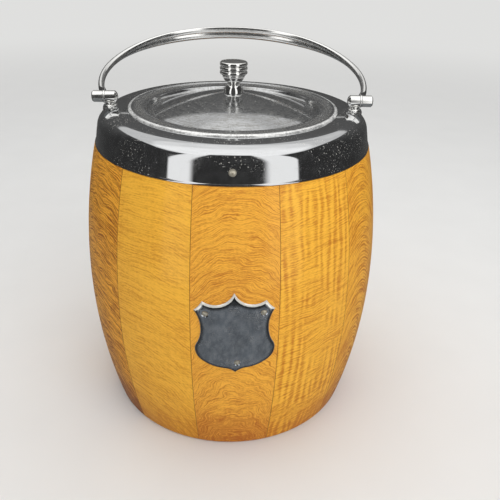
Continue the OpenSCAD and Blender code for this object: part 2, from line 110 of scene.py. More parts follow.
class Finish:
    """The finish of a surface. node() adds a node: its type, its settings, then its sockets."""

    def __init__(self, name, kind="materials"):
        self.material = getattr(bpy.data, kind).new(name)
        self.material.use_nodes = True
        self.tree = self.material.node_tree
        self.tree.nodes.clear()

    def node(self, kind, settings=None, inputs=None, output=0):
        made = self.tree.nodes.new(kind)
        for name, setting in (settings or {}).items():
            setattr(made, name, setting)
        for name, value in (inputs or {}).items():
            if isinstance(value, Wire):
                self.tree.links.new(value.socket, made.inputs[name])
            else:
                made.inputs[name].default_value = value
        return Wire(self, made.outputs[output]) if made.outputs else None

    def place(self, turn=(0, 0, 0), scale=(1, 1, 1), move=(0, 0, 0)):
        """Place on the piece, in millimetres, turned in degrees and then moved."""
        here = self.node("ShaderNodeTexCoord", output="Object")
        inputs = {
            "Vector": here,
            "Scale": [s / mm for s in scale],
            "Rotation": [math.radians(a) for a in turn],
            "Location": move,
        }
        return self.node("ShaderNodeMapping", inputs=inputs)

    def axis(self, vector, name):
        """One of a place's three measures: X, Y or Z."""
        return self.node("ShaderNodeSeparateXYZ", inputs={0: vector}, output=name)

    def stretched(self, vector, scale):
        inputs = {0: vector, 1: scale}
        return self.node("ShaderNodeVectorMath", {"operation": "MULTIPLY"}, inputs)

    def noise(self, vector, size=1, detail=2, roughness=0.5, distortion=0):
        inputs = {
            "Vector": vector,
            "Scale": 1 / size,
            "Detail": detail,
            "Roughness": roughness,
            "Distortion": distortion,
        }
        return self.node("ShaderNodeTexNoise", inputs=inputs)

    def step(self, value, low, high):
        """0 below low, 1 above high and a smooth rise between them."""
        inputs = {0: value, 1: low, 2: high}
        return self.node("ShaderNodeMapRange", {"interpolation_type": "SMOOTHSTEP"}, inputs)

    def mixed(self, share, a, b):
        a, b = (c if isinstance(c, Wire) else (*c, 1) for c in (a, b))
        return self.node("ShaderNodeMix", {"data_type": "RGBA"}, {0: share, 6: a, 7: b}, 2)

    def bump(self, height, depth, strength=1):
        inputs = {"Height": height, "Distance": depth * mm, "Strength": strength}
        return self.node("ShaderNodeBump", inputs=inputs)

    def looked_at(self):
        """1 for what the camera, gloss and clear parts show, 0 where light is only gathered."""
        rays = ("Is Camera Ray", "Is Glossy Ray", "Is Transmission Ray")
        camera, gloss, clear = (self.node("ShaderNodeLightPath", output=ray) for ray in rays)
        return (camera + gloss + clear).math("MINIMUM", 1)

    def shown(self, shader):
        self.node("ShaderNodeOutputMaterial", inputs={"Surface": shader})
        return self.material

    def surface(self, inputs):
        return self.shown(self.node("ShaderNodeBsdfPrincipled", inputs=inputs))

    def glowing(self, share, brightest):
        """A card that gives light: share of its brightest colour."""
        inputs = {"Color": self.mixed(share, (0, 0, 0), brightest)}
        return self.shown(self.node("ShaderNodeEmission", inputs=inputs))


def tint(red, green, blue):
    """A colour given on a screen's scale of 0 to 255, as amounts of light."""
    return tuple(((c / 255 + 0.055) / 1.055) ** 2.4 for c in (red, green, blue))


backdrop = (0.74, 0.74, 0.73)
table_r = 6
backdrop_from, backdrop_to = 300, 1300
bpy.ops.object.select_all(action="DESELECT")
bpy.ops.mesh.primitive_circle_add(vertices=128, radius=table_r, fill_type="NGON")
floor = bpy.context.object
floor.name = "floor"
paper = Finish("floor_paper")
mottle = paper.noise(paper.place(), size=40)
paper_colour = paper.mixed(mottle, (0.76, 0.76, 0.75), (0.80, 0.80, 0.79))
inputs = {"Base Color": paper_colour, "Roughness": 0.95, "Specular IOR Level": 0.1}
near_paper = paper.node("ShaderNodeBsdfPrincipled", inputs=inputs)
far_paper = paper.node("ShaderNodeEmission", inputs={"Color": (*backdrop, 1)})
inputs = {0: paper.place()}
away = paper.node("ShaderNodeVectorMath", {"operation": "LENGTH"}, inputs, "Value")
far = paper.looked_at() * paper.step(away, backdrop_from, backdrop_to)
sheet = paper.node("ShaderNodeMixShader", inputs={0: far, 1: near_paper, 2: far_paper})
floor.data.materials.append(paper.shown(sheet))


# ---- Light
# A plain grey room that looks as pale as the backdrop, a wide soft box overhead and a second
# one in front on the right. Under them colours look as they are written.
room = Finish("room", "worlds")
grey = room.mixed(room.looked_at(), (0.50, 0.50, 0.50), backdrop)
walls = room.node("ShaderNodeBackground", inputs={"Color": grey})
room.node("ShaderNodeOutputWorld", inputs={"Surface": walls})
bpy.context.scene.world = room.material


def soft_box(name, place, target, size, radiance):
    """A lamp with a wide even face, aimed at a target."""
    bpy.ops.object.light_add(type="AREA")
    box = bpy.context.object
    box.name = name
    box.data.shape = "RECTANGLE"
    box.data.size, box.data.size_y = size
    box.data.energy = radiance * math.pi * size[0] * size[1]
    aim = (Vector(target) - Vector(place)).to_track_quat("-Z", "Y")
    box.matrix_world = Matrix.Translation(place) @ aim.to_matrix().to_4x4()
    box.visible_camera = False


soft_box("overhead", (0, 0.08, 0.85), (0, 0.08, 0), (1.15, 1.0), 1.2)
soft_box("front_right", (0.42, -0.72, 0.66), (0, 0, 0.07), (0.9, 0.6), 2.1)


# ---- Dark tent
# Chrome needs something to mirror. A tent of dark card, with a bright roof and two bright
# strips beside the camera, gives it its black edges. The tent is seen in gloss alone.
tent_r = 0.30
tent_h = 0.56
curtain_top = 480
curtain_foot = 305
side_droop = 0.0075
back_droop = 0.0039
left_edge, left_inner = (-47, -45), (-31, -26)
right_inner, right_edge = (20, 27), (46, 48)
roof_front = (185, 220)
dark_card = 0.035
strip_light = 1.2
brightest = 1.6
bpy.ops.object.select_all(action="DESELECT")
bpy.ops.mesh.primitive_cylinder_add(
    vertices=128, radius=tent_r, depth=tent_h, location=(0, 0, tent_h / 2), end_fill_type="NGON"
)
tent = bpy.context.object
tent.name = "tent_wall"
bpy.ops.object.transform_apply(location=True, rotation=True, scale=True)
bpy.ops.object.mode_set(mode="EDIT")
bpy.ops.mesh.bisect(plane_co=(0, 0, mm), plane_no=(0, 0, 1), clear_inner=True)
bpy.ops.object.mode_set(mode="OBJECT")
card = Finish("tent_card")
at = card.place()
high = card.axis(at, "Z")
ahead = card.axis(at, "Y") * -1
aside = card.axis(at, "X")
bearing = aside.math("ARCTAN2", ahead) * math.degrees(1)
left_strip = card.step(bearing, *left_edge) * (1 - card.step(bearing, *left_inner))
right_strip = card.step(bearing, *right_inner) * (1 - card.step(bearing, *right_edge))
gap = card.step(bearing, *left_inner) * (1 - card.step(bearing, *right_inner))
back = ahead.math("MINIMUM", 0)
curtain = curtain_top - side_droop * aside * aside
curtain = curtain.math("MAXIMUM", curtain_top - back_droop * back * back)
curtain = curtain.math("MAXIMUM", curtain_foot)
roof = card.step(high - curtain, -12, 12) * (1 - gap * card.step(ahead, *roof_front))
behind = card.step(abs(bearing), 100, 150)
bright_card = strip_light * (left_strip + right_strip)
wall = dark_card + behind * (0.045 + 0.06 * card.step(high, 130, 420))
roof_light = 0.55 + 0.4 * card.noise(at, size=80, detail=2)
roof_light += 0.26 * card.step(ahead, -150, 0) + 0.28 * card.step(high, 500, 560)
glow = wall.math("MAXIMUM", bright_card.math("MAXIMUM", roof * roof_light))
warm_white = [brightest * c for c in (1.0, 0.995, 0.98)]
tent.data.materials.append(card.glowing(glow / brightest, warm_white))

# A dim glowing disc on the floor inside the tent, seen in gloss alone: it gives the chrome a
# painted reflection of a dark floor with a faint mottled sheen.
bpy.ops.object.select_all(action="DESELECT")
bpy.ops.mesh.primitive_circle_add(
    vertices=128, radius=tent_r, fill_type="NGON", location=(0, 0, 0.3 * mm)
)
apron = bpy.context.object
apron.name = "tent_floor"
bpy.ops.object.transform_apply(location=True, rotation=True, scale=True)
floor_glow = Finish("tent_floor_glow")
sheen = 0.09 + 0.14 * floor_glow.noise(floor_glow.place(), size=32, detail=1)
apron.data.materials.append(floor_glow.glowing(sheen, (0.92, 0.97, 1.0)))
for part in (tent, apron):
    part.visible_camera = False
    part.visible_diffuse = False
    part.visible_shadow = False
    part.visible_transmission = False


# ---- Staves
# Twelve staves of a honey-coloured hardwood, coopered into a barrel and turned to one
# bulging curve, then varnished. Each was sawn from the log at its own angle, so each has
# its own figure. Hair-line joints show between them, and the foot has a small chamfer.
barrel_r = 71
bulge_z = 66.4
bulge_arc_r = 271
wall_h = 132.8
stave_t = 8
stave_angle = 30
stave_turn = 1.3
tongue_top = 140.4
foot_chamfer = 0.8
joint_chamfer = 0.09
base_recess = 5
croze_top = 12
croze_depth = 2.5
collar_t = 0.8
bed_fit = 0.05


def wall_r(z):
    """Radius of the barrel's outer face at a height."""
    return barrel_r - bulge_arc_r + math.sqrt(bulge_arc_r**2 - (z - bulge_z) ** 2)


collar_step_in = 0.45
collar_foot_r = wall_r(wall_h) - collar_step_in
collar_lean = 1.4
shoulder_r = 4.8
collar_top = 146
shoulder_z = collar_top - shoulder_r


def skirt_r(z):
    """Radius of the collar's outer face at a height on its skirt."""
    return collar_foot_r - collar_lean * (z - wall_h) / (shoulder_z - wall_h)


def wall_points(z_from, z_to, inward, steps):
    """Points down or up the wall, inward of its outer face."""
    heights = [z_from + (z_to - z_from) * i / steps for i in range(steps + 1)]
    return [(wall_r(z) - inward, z) for z in heights]


def draw(name, points):
    """A line drawn from point to point in the XZ plane, by extruding its end."""
    bpy.ops.object.select_all(action="DESELECT")
    x, z = points[0]
    bpy.ops.mesh.primitive_plane_add(size=mm, location=(x * mm, 0, z * mm))
    piece = bpy.context.object
    piece.name = name
    piece.data.name = name
    bpy.ops.object.mode_set(mode="EDIT")
    bpy.ops.mesh.merge(type="CENTER")
    for next_x, next_z in points[1:]:
        step = ((next_x - x) * mm, 0, (next_z - z) * mm)
        bpy.ops.mesh.extrude_vertices_move(TRANSFORM_OT_translate={"value": step})
        x, z = next_x, next_z
    return piece


def weld():
    """Joins the points that meet and turns the faces outwards."""
    bpy.ops.mesh.select_all(action="SELECT")
    bpy.ops.mesh.remove_doubles(threshold=0.001 * mm)
    bpy.ops.mesh.normals_make_consistent(inside=False)


def settle(piece, sharp=35):
    """Puts the finished piece's origin at the jar's and smooths all but its sharp edges."""
    bpy.ops.object.mode_set(mode="OBJECT")
    bpy.ops.object.select_all(action="DESELECT")
    piece.select_set(True)
    bpy.context.view_layer.objects.active = piece
    bpy.ops.object.transform_apply(location=True, rotation=True, scale=True)
    bpy.ops.object.shade_smooth_by_angle(angle=math.radians(sharp))
    return piece


def eased(piece, width, segments=2, angle=30):
    """Takes the sharp edges off with a small bevel."""
    bpy.ops.object.mode_set(mode="OBJECT")
    bpy.context.view_layer.objects.active = piece
    bpy.ops.object.modifier_add(type="BEVEL")
    bevel = piece.modifiers[-1]
    bevel.width = width * mm
    bevel.segments = segments
    bevel.limit_method = "ANGLE"
    bevel.angle_limit = math.radians(angle)
    bpy.ops.object.modifier_apply(modifier=bevel.name)


stave_profile = (
    [(wall_r(0) - foot_chamfer, 0)]
    + wall_points(foot_chamfer, wall_h, 0, 48)
    + [(skirt_r(wall_h) - collar_t - bed_fit, wall_h)]
    + [(skirt_r(tongue_top) - collar_t - bed_fit, tongue_top)]
    + wall_points(tongue_top, croze_top, stave_t, 16)
    + [(wall_r(base_recess) - stave_t + croze_depth, croze_top)]
    + [(wall_r(base_recess) - stave_t + croze_depth, base_recess)]
    + [(wall_r(base_recess) - stave_t, base_recess), (wall_r(0) - stave_t, 0)]
)
blank = draw("stave_blank", stave_profile)
bpy.ops.mesh.select_all(action="SELECT")
bpy.ops.mesh.edge_face_add()
bpy.ops.transform.rotate(
    value=-math.radians(-90 + stave_turn - stave_angle / 2),
    orient_axis="Z",
    orient_type="GLOBAL",
    center_override=(0, 0, 0),
)
bpy.ops.mesh.select_all(action="SELECT")
bpy.ops.mesh.spin(steps=14, angle=-math.radians(stave_angle), center=(0, 0, 0), axis=(0, 0, 1))
weld()
settle(blank)

boards = {
    1: dict(
        pale=(255, 188, 64), dark=(192, 108, 24), rings=0.42, climb=-0.40, arch=-0.0075, aside=1,
        waver=2.0, curl=10, silk=0.30, line=0.62,
    ),
    2: dict(
        pale=(255, 192, 60), dark=(202, 120, 22), rings=0.60, climb=-0.45, arch=0.006, aside=0,
        waver=1.0, curl=11, silk=0.45, line=0.55, slant=0.07, ribbon=1.1,
    ),
    3: dict(
        pale=(255, 190, 56), dark=(190, 106, 14), rings=0.70, climb=-0.35, arch=-0.018, aside=-9,
        waver=0.8, curl=12, silk=0.25, line=0.80, ribbon=0.10,
    ),
    4: dict(
        pale=(255, 188, 62), dark=(188, 108, 26), rings=0.60, climb=-0.45, arch=0.004, aside=-6,
        waver=1.2, curl=12, silk=0.35, line=0.60, slant=0.02, ribbon=0.15,
    ),
    5: dict(
        pale=(255, 192, 62), dark=(202, 124, 26), rings=0.60, climb=-0.45, arch=-0.004, aside=8,
        waver=0.8, curl=14, silk=0.40, line=0.40, slant=0.05, ribbon=0.60,
    ),
    6: dict(
        pale=(255, 188, 60), dark=(186, 104, 24), rings=0.60, climb=-0.35, arch=-0.010, aside=-3,
        waver=1.6, curl=12, silk=0.25, line=0.70, ribbon=0.05,
    ),
    7: dict(
        pale=(252, 182, 58), dark=(184, 104, 26), rings=0.55, climb=-0.40, arch=0.012, aside=-4,
        waver=1.0, curl=12, silk=0.30, line=0.70, ribbon=0.10,
    ),
    8: dict(
        pale=(255, 194, 64), dark=(206, 134, 30), rings=0.60, climb=-0.45, arch=0.003, aside=-10,
        waver=0.7, curl=15, silk=0.50, line=0.35, slant=0.03, ribbon=0.25,
    ),
    9: dict(
        pale=(255, 186, 60), dark=(188, 106, 26), rings=0.50, climb=-0.38, arch=-0.009, aside=4,
        waver=1.6, curl=11, silk=0.25, line=0.65,
    ),
    10: dict(
        pale=(255, 190, 62), dark=(200, 122, 28), rings=0.60, climb=-0.45, arch=0.005, aside=6,
        waver=0.9, curl=13, silk=0.40, line=0.40, slant=-0.04, ribbon=0.70,
    ),
    11: dict(
        pale=(255, 182, 52), dark=(158, 86, 12), rings=0.70, climb=-0.45, arch=0.001, aside=4,
        waver=1.2, curl=8, silk=0.30, line=0.90, ribbon=0.05,
    ),
    12: dict(
        pale=(255, 192, 60), dark=(208, 132, 28), rings=0.65, climb=-0.45, arch=0.0025, aside=-8,
        waver=1.0, curl=13, silk=0.60, line=0.50, slant=-0.30, twist=0.0019, ribbon=0.12,
    ),
}
seam_at = (0.04, 0.20)
ribbon_w = 3.4
peel_depth = 0.05


def board_finish(
    number,
    pale,
    dark,
    rings,
    climb,
    arch,
    aside,
    waver,
    curl,
    silk,
    line,
    slant=0,
    twist=0,
    ribbon=0,
):
    """Varnished wood. rings is the width of a year's growth, in millimetres, and line how dark
    it gets. climb is how steeply the rings rise up the stave, arch how they arch, about a line
    aside of its middle, slant how they lean and twist how the lean changes. waver is how far
    they wander, over waves curl wide. silk and ribbon are the stripes of the lustre."""
    wood = Finish("stave_wood_%02d" % number)
    middle = -90 + stave_turn + stave_angle * (number - 1)
    here = wood.place(turn=(0, 0, -middle))
    out, across, up = (wood.axis(here, name) for name in "XYZ")
    shifted = wood.place(turn=(0, 0, -middle), move=(37.0 * number, 11.0 * number, 53.0 * number))
    sway = wood.noise(wood.stretched(shifted, (1, 1, 1.3)), size=curl, detail=1.5, roughness=0.4)
    crinkle = wood.noise(shifted, size=1.7, detail=1)
    offset = across - aside
    growth = out + climb * up + arch * offset * offset + (slant + twist * up) * across
    growth = growth + 2 * waver * sway + 0.22 * crinkle
    ring = growth / rings
    share = ring.math("FRACT")
    year = wood.node(
        "ShaderNodeTexWhiteNoise", {"noise_dimensions": "1D"}, {"W": ring.math("FLOOR")}, "Value"
    )
    late = wood.step(share, 0.20, 0.84) * (1 - wood.step(share, 0.88, 1.0)) * (0.3 + 0.9 * year)
    inputs = {0: ring * 1.6, 1: across * 0.11, 2: up * 0.05}
    along = wood.node("ShaderNodeCombineXYZ", inputs=inputs)
    fibre = wood.step(wood.noise(along, size=1, detail=2, roughness=0.6), 0.42, 0.66)
    grain = 0.50 * late + 0.60 * fibre
    streak = wood.noise(wood.stretched(shifted, (0.05, 0.05, 1.6)), size=1, detail=2)
    silky = wood.step(streak, 0.42, 0.68)
    drift = wood.noise(wood.stretched(shifted, (1, 1, 0.10)), size=5, detail=1)
    stripe = ((across + 5.0 * drift) * (math.tau / ribbon_w)).math("SINE") * 0.5 + 0.5
    lustre = wood.step(wood.noise(shifted, size=15, detail=1), 0.30, 0.60)
    cloud = wood.noise(shifted, size=26, detail=1)
    inputs = {0: ring * 2.2, 1: across * 0.9, 2: up * 0.4}
    pores = wood.noise(wood.node("ShaderNodeCombineXYZ", inputs=inputs), size=1, detail=1)
    shade = (
        line * grain
        + silk * (silky - 0.45) * 0.40
        + ribbon * lustre * (stripe - 0.4) * 0.55
        + (cloud - 0.5) * 0.45
        + (pores - 0.5) * 0.80
        # Darker towards the foot, below 34 mm: painted shade.
        + 0.45 * wood.step(up, 34, 0)
        + 0.10
    )
    colour = wood.mixed(wood.step(shade, -0.15, 1.0), tint(*pale), tint(*dark))
    from_joint = stave_angle / 2 - abs(across.math("ARCTAN2", out) * math.degrees(1))
    joint = 1 - wood.step(from_joint, *seam_at)
    worn = wood.noise(wood.stretched(shifted, (1, 1, 0.3)), size=3, detail=2)
    seam_colour = wood.mixed(wood.step(worn, 0.50, 0.70), tint(112, 62, 18), tint(196, 126, 46))
    colour = wood.mixed(joint * 0.8, colour, seam_colour)
    orange_peel = wood.noise(here, size=2.2, detail=1)
    relief = wood.bump(orange_peel * 0.5 - grain * 0.35 - pores * 0.25, peel_depth, 0.35)
    return wood.surface(
        {
            "Base Color": colour,
            "Roughness": 0.42 + 0.12 * grain,
            "Normal": relief,
            "Coat Weight": 0.35,
            "Coat Roughness": 0.14,
            "Specular IOR Level": 0.25,
        }
    )


for number, board in boards.items():
    bpy.ops.object.select_all(action="DESELECT")
    blank.select_set(True)
    bpy.context.view_layer.objects.active = blank
    bpy.ops.object.duplicate()
    stave = bpy.context.object
    node = "stave_%02d" % number
    stave.name = node + "_wood"
    stave.rotation_euler = (0, 0, math.radians(stave_angle * (number - 1)))
    eased(stave, joint_chamfer)
    settle(stave)
    stave.data.materials.clear()
    stave.data.materials.append(board_finish(number, **board))
    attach(stave, "barrel")
    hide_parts(node)
bpy.data.objects.remove(blank)


# ---- Base board
# A round board of the same wood, let into the staves' groove and left with a thin finish.
# Its straight grain runs across the jar.
def dress(names, material):
    """Gives pieces that keep their own meshes a finish."""
    for name in names:
        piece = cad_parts[name]
        piece.data.materials.clear()
        piece.data.materials.append(material)


board = Finish("board_wood")
here = board.place()
wander = board.noise(board.stretched(here, (0.02, 0.05, 0.05)), size=1, detail=2)
line = ((board.axis(here, "Y") + 14 * wander) / 2.1).math("FRACT")
fibre = board.noise(board.stretched(here, (0.04, 1.8, 1)), size=1, detail=3)
shade = 0.5 * board.step(line, 0.3, 0.9) * (1 - board.step(line, 0.92, 1)) + 0.6 * fibre
board_colour = board.mixed(shade, tint(206, 148, 78), tint(136, 86, 38))
board_wood = board.surface(
    {
        "Base Color": board_colour,
        "Roughness": 0.5 + 0.2 * fibre,
        "Normal": board.bump(fibre, 0.06, 0.4),
    }
)
dress(["base_board"], board_wood)


# ---- Liner
# A plain pot of white-glazed earthenware that lines the barrel. The glaze is thick and
# glossy, slightly creamy, with a few specks and a soft wave in its surface.
glaze = Finish("liner_glaze")
here = glaze.place()
pool = glaze.noise(here, size=22, detail=2)
speck = glaze.step(glaze.noise(here, size=1.1, detail=1), 0.74, 0.80)
glaze_colour = glaze.mixed(pool, tint(236, 230, 214), tint(246, 242, 230))
glaze_colour = glaze.mixed(speck * 0.6, glaze_colour, tint(170, 140, 100))
liner_glaze = glaze.surface(
    {
        "Base Color": glaze_colour,
        "Roughness": 0.18 + 0.1 * speck,
        "Normal": glaze.bump(pool, 0.25, 0.5),
        "Coat Weight": 0.8,
        "Coat Roughness": 0.04,
    }
)
dress(["liner"], liner_glaze)


# ---- Collar
# A ring pressed from thin brass sheet and chromium plated: a skirt round the wood, a round
# shoulder, a flat top and a lip round the mouth that carries the lid. The plating is old,
# with a film of dust, fine scratches and small pits.
def chrome_finish(
    name, film, scratched, dusty, colour=(0.63, 0.64, 0.655), rough=0.045, bevel=None
):
    """Chromium plate. film is how much grime dulls it, scratched and dusty are how marked it
    is. bevel is how far in from its edge, in millimetres, the plate carries a painted
    highlight, with a band of painted dark shade inside it."""
    chrome = Finish(name)
    here = chrome.place()
    buckle = chrome.noise(here, size=16, detail=1)
    lines = None
    for turn, length, width in ((25, 34, 0.50), (-52, 22, 0.42), (80, 40, 0.55)):
        stretch = (1 / length, 1 / width, 1 / width)
        along = chrome.place(turn=(turn * 0.4, turn * 0.3, turn), scale=stretch)
        swing = chrome.noise(along, size=1, detail=1)
        hair = 1 - chrome.step(abs(swing - 0.5), 0.0, 0.022)
        lines = hair if lines is None else lines + hair
    gate = chrome.step(chrome.noise(here, size=7, detail=2), 0.50, 0.66)
    marks = lines * gate * scratched
    dust = chrome.step(chrome.noise(here, size=0.5, detail=1), 0.675, 0.74)
    drifted = chrome.step(chrome.noise(here, size=13, detail=2), 0.42, 0.66)
    specks = dust * drifted * dusty
    smear = chrome.noise(chrome.stretched(here, (1, 1, 0.6)), size=2, detail=3, roughness=0.65)
    grime = film * chrome.step(smear, 0.30, 0.80)
    soiled = (specks + grime * 0.5 + marks * 0.25).math("MINIMUM", 1)
    plate = chrome.mixed(soiled, colour, tint(218, 215, 208))
    metal = 1 - 0.75 * specks - 0.5 * grime
    # Within bevel of the edge, a painted highlight: a light colour with less metal. Just inside
    # it, a band of painted shade, darkened towards black.
    if bevel:
        inward = chrome.node("ShaderNodeAttribute", {"attribute_name": "inward"}, output="Fac")
        edge = 1 - chrome.step(inward, bevel - 0.15, bevel + 0.15)
        shadow = (1 - chrome.step(inward, bevel + 0.5, bevel + 1.9)) * (1 - edge)
        plate = chrome.mixed(shadow * 0.75, plate, (0.05, 0.05, 0.05))
        plate = chrome.mixed(edge, plate, tint(238, 236, 228))
        metal = metal * (1 - 0.75 * edge)
    return chrome.surface(
        {
            "Base Color": plate,
            "Metallic": metal,
            "Roughness": rough + 0.16 * grime + 0.22 * marks + 0.4 * specks,
            "Normal": chrome.bump(buckle * 1.2 - marks * 0.02, 0.05, 0.5),
        }
    )


def arc(centre, radius, start, end, step=5):
    """Points of an arc round a centre, in degrees."""
    steps = max(1, math.ceil(abs(end - start) / step))
    turns = [math.radians(start + (end - start) * i / steps) for i in range(steps + 1)]
    return [(centre[0] + radius * math.cos(a), centre[1] + radius * math.sin(a)) for a in turns]


def bow(a, b, rise, steps=14):
    """Points from a to just before b, on an arc whose middle stands out to the left by rise."""
    a, b = Vector(a), Vector(b)
    chord = (b - a).length
    along = (b - a) / chord
    left = Vector((-along.y, along.x))
    radius = ((chord / 2) ** 2 + rise**2) / (2 * rise)
    half = 2 * math.atan(2 * rise / chord)
    centre = (a + b) / 2 + left * (rise - radius)
    turns = [half * (1 - 2 * i / steps) for i in range(steps)]
    return [tuple(centre + radius * (left * math.cos(t) - along * math.sin(t))) for t in turns]


def turned(name, profile, steps, edge=0.0, closed=True):
    """A piece turned about the jar's axis from its profile."""
    piece = draw(name, profile + profile[:1] if closed else profile)
    bpy.ops.mesh.select_all(action="SELECT")
    bpy.ops.mesh.spin(steps=steps, angle=math.tau, center=(0, 0, 0), axis=(0, 0, 1))
    weld()
    settle(piece)
    if edge:
        eased(piece, edge)
        settle(piece)
    return piece


def oval(centre, across, up, start, end, step=5):
    """Points of an oval round a centre, in degrees."""
    return [
        (centre[0] + (r - centre[0]) * across, centre[1] + (z - centre[1]) * up)
        for r, z in arc(centre, 1, start, end, step)
    ]


crown_r = collar_foot_r - collar_lean - shoulder_r
top_w = 8.6
mouth_r = crown_r - top_w
lip_drop, lip_w = 1, 1.7
lip_z = collar_top - lip_drop
lip_r = mouth_r - lip_w
brim_z = collar_top + 1
oval_w, oval_h = 9.3, 6.4
shoulder = (crown_r + shoulder_r - oval_w, brim_z - 0.2 - oval_h)
collar = turned(
    "collar_plated",
    [(collar_foot_r, wall_h), (collar_foot_r + 0.28, wall_h + 0.15)]
    + [(collar_foot_r + 0.32, wall_h + 0.4), (collar_foot_r + 0.16, wall_h + 0.7)]
    + [(skirt_r(wall_h + i), wall_h + i) for i in (1, 2, 4, 6)]
    + oval(shoulder, oval_w, oval_h, 4, 85, 4)
    + [(50, brim_z - 0.08), (mouth_r - 0.08, brim_z), (mouth_r - 0.08, lip_z), (lip_r, lip_z)]
    + [(lip_r, lip_z - collar_t), (mouth_r + collar_t, lip_z - collar_t)]
    + [(mouth_r + collar_t, brim_z - collar_t)]
    + oval(shoulder, oval_w - collar_t, oval_h - collar_t, 80, 0, 10)
    + [(collar_foot_r - collar_t, wall_h)],
    192,
    edge=0.12,
)
collar.data.materials.append(chrome_finish("collar_chrome", film=0.06, scratched=0.5, dusty=1.2))
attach(collar, "barrel")
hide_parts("collar")


# ---- Collar pins
# Three domed nickel pins, driven through the skirt into the staves. Their plating has
# yellowed and is dull.
nickel = Finish("pin_nickel")
here = nickel.place()
patina = nickel.noise(here, size=1.3, detail=3)
pin_nickel = nickel.surface(
    {
        "Base Color": nickel.mixed(patina, tint(196, 188, 168), tint(228, 222, 206)),
        "Metallic": 0.7,
        "Roughness": 0.22 + 0.14 * patina,
        "Normal": nickel.bump(patina, 0.03, 0.5),
    }
)
dress(["collar_pins", "shield_pins"], pin_nickel)


# ---- Shield
# A bare presentation plate stamped from sheet, chromium plated and bent to the barrel's
# curve. Round its edge runs a bevel, with a painted highlight along its up-facing top
# edges and a band of painted shade just inside the edge, and its three holes are
# countersunk for the pins.
shield_z = 71.6
shield_tilt = math.radians(1.2)
shield_t = 0.9
shield_corners = [
    ((0, 19.6), -3.3),
    ((13, 15.5), -0.3),
    ((16.55, 11.2), -1.9),
    ((15.35, -4), 2.2),
    ((13.6, -14.2), 0.7),
    ((4.5, -17.8), -0.5),
    ((0, -20.2), 0),
]
sheet_t = 0.3
edge_w = 0.35
bevel_w = 1.1
bevel_fall = 0.22
pins_at = [(-11.8, 9.9), (11.8, 9.9), (0.8, -14.6)]
pin_head_r = 1.2
sink = 0.35
# Up-facing edges of the upper part carry the painted highlight. Other edges are shifted inward, so
# they carry mostly painted shade.
highlight_above = 5
highlight_gain = 1.6
off_highlight_shift = 0.9
at_edge = 0.01
far_inside = 9
half = []
for (a, rise), (b, _) in zip(shield_corners, shield_corners[1:]):
    half += bow(a, b, rise, 10)
outline = half + [shield_corners[-1][0]] + [(-x, z) for x, z in reversed(half[1:])]
shield = draw("shield_plated", outline)
bpy.ops.mesh.select_all(action="SELECT")
bpy.ops.mesh.edge_face_add()
for width in (edge_w, bevel_w):
    bpy.ops.mesh.inset(thickness=width * mm, depth=0, use_even_offset=True)
for x in range(-16, 17, 2):
    bpy.ops.mesh.select_all(action="SELECT")
    bpy.ops.mesh.bisect(plane_co=((x + 0.01) * mm, 0, 0), plane_no=(1, 0, 0))
for z in range(-18, 20, 3):
    bpy.ops.mesh.select_all(action="SELECT")
    bpy.ops.mesh.bisect(plane_co=(0, 0, (z + 0.01) * mm), plane_no=(0, 0, 1))
bpy.ops.mesh.select_all(action="SELECT")
bpy.ops.mesh.remove_doubles(threshold=0.01 * mm)
bpy.ops.object.mode_set(mode="OBJECT")
bpy.ops.object.transform_apply(location=True, rotation=True, scale=True)
rim = [Vector(p) for p in outline]
tilt = Matrix.Rotation(shield_tilt, 2)
# The 'inward' attribute is each point's distance in from the outline, shifted where the edge does
# not face up. chrome_finish paints the highlight and the shade band from it.
inward = shield.data.attributes.new("inward", "FLOAT", "POINT")
for vertex, inward_by in zip(shield.data.vertices, inward.data):
    flat = Vector((vertex.co.x, vertex.co.z)) / mm
    near = math.inf
    for a, b in zip(rim, rim[1:] + rim[:1]):
        share = max(0, min(1, (flat - a).dot(b - a) / (b - a).length_squared))
        if (flat - a.lerp(b, share)).length < near:
            near = (flat - a.lerp(b, share)).length
            faces_up = (b - a).normalized().x * (flat.y > highlight_above)
    edge_lit = max(0, min(1, highlight_gain * faces_up))
    inward_by.value = at_edge + near + off_highlight_shift * (1 - edge_lit)
    height = bed_fit + shield_t - bevel_fall * (1 - min(1, max(0, near - edge_w) / bevel_w))
    height -= edge_w - min(edge_w, near)
    x, z = tilt @ flat
    radius = wall_r(shield_z + z) + height
    vertex.co = Vector((x, -math.sqrt(radius**2 - x**2), shield_z + z)) * mm
bpy.ops.object.mode_set(mode="EDIT")
bpy.ops.mesh.select_all(action="SELECT")
bpy.ops.mesh.normals_make_consistent(inside=False)
bpy.ops.object.mode_set(mode="OBJECT")
shield.rotation_euler = (0, 0, math.radians(stave_turn))
settle(shield)
bpy.ops.object.modifier_add(type="SOLIDIFY")
thicken = shield.modifiers[-1]
thicken.thickness = sheet_t * mm
thicken.offset = -1
bpy.ops.object.modifier_apply(modifier=thicken.name)
